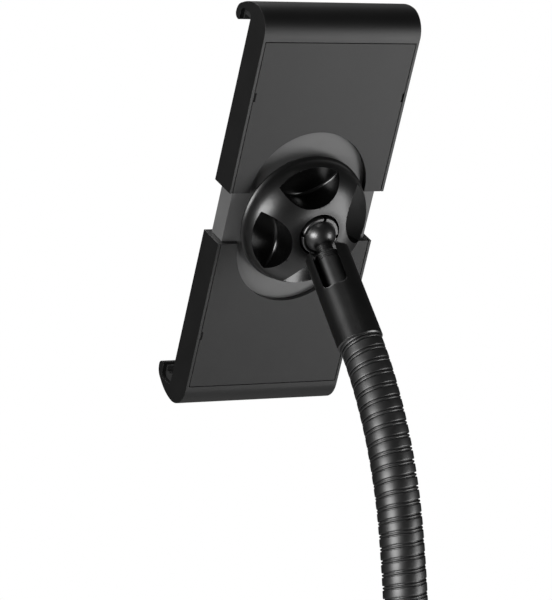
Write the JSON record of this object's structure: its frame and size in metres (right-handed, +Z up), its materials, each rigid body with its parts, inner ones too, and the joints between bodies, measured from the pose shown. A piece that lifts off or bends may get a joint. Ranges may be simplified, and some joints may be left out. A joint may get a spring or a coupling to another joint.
{
  "type": "tablet floor stand",
  "caption": "Floor stand that holds a tablet in two sprung jaws on a ball joint, with a flexible neck on a telescopic pole and a round weighted base.",
  "frame": {"origin": "centre of the underside of the base mat, on the floor and under the pole's axis", "axes": "+Z up along the pole, +X across the holder's width, -Y towards the user who looks at the tablet"},
  "size_m": [0.3, 0.3, 1.2489],
  "materials": {
    "rubber": "matt black rubber",
    "base_paint": "fine-textured black powder coat",
    "black_metal": "satin black coat",
    "ferrule_metal": "satin black coat",
    "neck_metal": "semi-gloss black coat",
    "ball_metal": "satin dark grey coat",
    "steel": "plain steel",
    "spring_steel": "bright spring wire",
    "black_plastic": "fine-grained black",
    "knob_plastic": "satin black",
    "body_plastic": "fine-grained dark grey",
    "jaw_plastic": "fine-grained charcoal",
    "cover_plastic": "fine-grained charcoal",
    "pale_plastic": "natural"
  },
  "bodies": {
    "base": {"base_mat": "rubber", "base_plate": "base_paint", "pole_socket": "black_metal", "base_screws": "steel", "pole_set_screw": "steel", "lower_tube": "black_metal", "height_lock_body": "black_plastic", "height_lock_collet": "pale_plastic"},
    "height_lock": {"height_lock_sleeve": "black_plastic"},
    "glide": {"glide_plug": "pale_plastic"},
    "upper_pole": {"upper_tube": "black_metal", "tube_top_plug": "steel", "neck_lock_nut": "black_metal", "neck_lower_ferrule": "black_metal", "neck_section_01": "neck_metal"},
    "neck_02": {"neck_section_02": "neck_metal"},
    "neck_03": {"neck_section_03": "neck_metal"},
    "neck_04": {"neck_section_04": "neck_metal"},
    "neck_05": {"neck_section_05": "neck_metal"},
    "neck_06": {"neck_section_06": "neck_metal"},
    "neck_07": {"neck_section_07": "neck_metal"},
    "neck_08": {"neck_section_08": "neck_metal"},
    "neck_09": {"neck_section_09": "neck_metal"},
    "neck_10": {"neck_section_10": "neck_metal"},
    "neck_11": {"neck_section_11": "neck_metal"},
    "neck_12": {"neck_section_12": "neck_metal"},
    "neck_top": {"neck_upper_ferrule": "ferrule_metal", "ball_stem": "ball_metal"},
    "liner": {"friction_pad": "pale_plastic"},
    "seat": {"thrust_cup": "black_plastic"},
    "holder": {"ball_socket": "ball_metal", "socket_screws": "steel", "centre_body": "body_plastic", "front_plate": "black_plastic", "front_plate_screws": "steel", "centre_pad": "rubber", "pinion_pin": "steel", "upper_jaw_spring": "spring_steel", "lower_jaw_spring": "spring_steel"},
    "clamp_knob": {"clamp_knob": "knob_plastic"},
    "upper_jaw": {"upper_jaw": "jaw_plastic", "upper_jaw_cover": "cover_plastic", "upper_hook_pad": "rubber", "upper_back_pad": "rubber", "upper_rack": "pale_plastic", "upper_rack_screw": "steel"},
    "lower_jaw": {"lower_jaw": "jaw_plastic", "lower_jaw_cover": "cover_plastic", "lower_hook_pad": "rubber", "lower_back_pad": "rubber", "lower_rack": "pale_plastic", "lower_rack_screw": "steel"},
    "pinion": {"pinion": "pale_plastic"}
  },
  "joints": [
    {"name": "height_lock_turn", "type": "hinge", "parent": "base", "child": "height_lock", "pos_m": [0, 0, 0.515], "axis": [0, 0, 1], "range_deg": [0, 120]},
    {"name": "height_slide", "type": "slide", "parent": "base", "child": "glide", "axis": [0, 0, 1], "range_m": [-0.09, 0.25]},
    {"name": "pole_turn", "type": "hinge", "parent": "glide", "child": "upper_pole", "pos_m": [0, 0, 0.655], "axis": [0, 0, 1], "continuous": true},
    {"name": "neck_lower_bend_1", "type": "hinge", "parent": "upper_pole", "child": "neck_02", "pos_m": [0, 0, 0.7299], "axis": [0.9945, 0.1045, 0], "range_deg": [-17.5, 17.5]},
    {"name": "neck_lower_bend_2", "type": "hinge", "parent": "neck_02", "child": "neck_03", "pos_m": [0, 0, 0.7638], "axis": [0.9945, 0.1045, 0], "range_deg": [-17.5, 17.5]},
    {"name": "neck_sway_1", "type": "hinge", "parent": "neck_03", "child": "neck_04", "pos_m": [0, 0, 0.7977], "axis": [-0.1045, 0.9945, 0], "range_deg": [-14, 14]},
    {"name": "neck_lower_bend_3", "type": "hinge", "parent": "neck_04", "child": "neck_05", "pos_m": [0, 0, 0.8316], "axis": [0.9945, 0.1045, 0], "range_deg": [-17.5, 17.5]},
    {"name": "neck_lower_bend_4", "type": "hinge", "parent": "neck_05", "child": "neck_06", "pos_m": [0, 0, 0.8655], "axis": [0.9945, 0.1045, 0], "range_deg": [-17.5, 17.5]},
    {"name": "neck_lower_bend_5", "type": "hinge", "parent": "neck_06", "child": "neck_07", "pos_m": [0, 0, 0.8994], "axis": [0.9945, 0.1045, 0], "range_deg": [-17.5, 17.5]},
    {"name": "neck_sway_2", "type": "hinge", "parent": "neck_07", "child": "neck_08", "pos_m": [0.00006, -0.00059, 0.93329], "axis": [-0.1045, 0.9942, 0.0262], "range_deg": [-14, 14]},
    {"name": "neck_upper_bend_1", "type": "hinge", "parent": "neck_08", "child": "neck_09", "pos_m": [0.00019, -0.00177, 0.96717], "axis": [0.9945, 0.1045, 0], "range_deg": [-18, 9]},
    {"name": "neck_upper_bend_2", "type": "hinge", "parent": "neck_09", "child": "neck_10", "pos_m": [0.00043, -0.00412, 1.00099], "axis": [0.9945, 0.1045, 0], "range_deg": [-18, 9]},
    {"name": "neck_upper_bend_3", "type": "hinge", "parent": "neck_10", "child": "neck_11", "pos_m": [0.00096, -0.0091, 1.03452], "axis": [0.9945, 0.1045, 0], "range_deg": [-18, 9]},
    {"name": "neck_sway_3", "type": "hinge", "parent": "neck_11", "child": "neck_12", "pos_m": [0.00199, -0.01896, 1.06694], "axis": [-0.0969, 0.9221, 0.3746], "range_deg": [-14, 14]},
    {"name": "neck_upper_bend_4", "type": "hinge", "parent": "neck_12", "child": "neck_top", "pos_m": [0.0036, -0.03426, 1.09714], "axis": [0.9945, 0.1045, 0], "range_deg": [-18, 9]},
    {"name": "holder_tilt", "type": "hinge", "parent": "neck_top", "child": "liner", "pos_m": [0.00694, -0.06602, 1.14556], "axis": [1, 0, 0], "range_deg": [-70, 5]},
    {"name": "holder_pan", "type": "hinge", "parent": "liner", "child": "seat", "pos_m": [0.00694, -0.06602, 1.14556], "axis": [0, 0.4163, 0.9092], "range_deg": [-15, 15]},
    {"name": "holder_spin", "type": "hinge", "parent": "seat", "child": "holder", "pos_m": [0.00694, -0.06602, 1.14556], "axis": [0, 0.9092, -0.4163], "continuous": true},
    {"name": "knob_turn", "type": "hinge", "parent": "holder", "child": "clamp_knob", "pos_m": [0.00694, -0.07693, 1.15056], "axis": [0, 0.9092, -0.4163], "range_deg": [0, 180]},
    {"name": "upper_jaw_slide", "type": "slide", "parent": "holder", "child": "upper_jaw", "axis": [0, 0.4163, 0.9092], "range_m": [-0.0125, 0.02], "stiffness_N_per_m": 275, "springref_m": -0.0175, "deforming": ["upper_jaw_spring", "lower_jaw_spring"]},
    {"name": "lower_jaw_slide", "type": "slide", "parent": "holder", "child": "lower_jaw", "axis": [0, -0.4163, -0.9092], "range_m": [-0.0125, 0.02], "stiffness_N_per_m": 275, "springref_m": -0.0175},
    {"name": "pinion_turn", "type": "hinge", "parent": "holder", "child": "pinion", "pos_m": [0.00694, -0.0892, 1.15618], "axis": [0, 0.9092, -0.4163], "range_deg": [-143.3, 89.6]}
  ],
  "couplings": [
    {"joint": "neck_lower_bend_2", "follows": "neck_lower_bend_1", "ratio": 1},
    {"joint": "neck_lower_bend_3", "follows": "neck_lower_bend_1", "ratio": 1},
    {"joint": "neck_lower_bend_4", "follows": "neck_lower_bend_1", "ratio": 1},
    {"joint": "neck_lower_bend_5", "follows": "neck_lower_bend_1", "ratio": 1},
    {"joint": "neck_sway_2", "follows": "neck_sway_1", "ratio": 1},
    {"joint": "neck_sway_3", "follows": "neck_sway_1", "ratio": 1},
    {"joint": "neck_upper_bend_2", "follows": "neck_upper_bend_1", "ratio": 1},
    {"joint": "neck_upper_bend_3", "follows": "neck_upper_bend_1", "ratio": 1},
    {"joint": "neck_upper_bend_4", "follows": "neck_upper_bend_1", "ratio": 1},
    {"joint": "lower_jaw_slide", "follows": "upper_jaw_slide", "ratio": 1},
    {"joint": "pinion_turn", "follows": "upper_jaw_slide", "rad_per_m": -125}
  ]
}
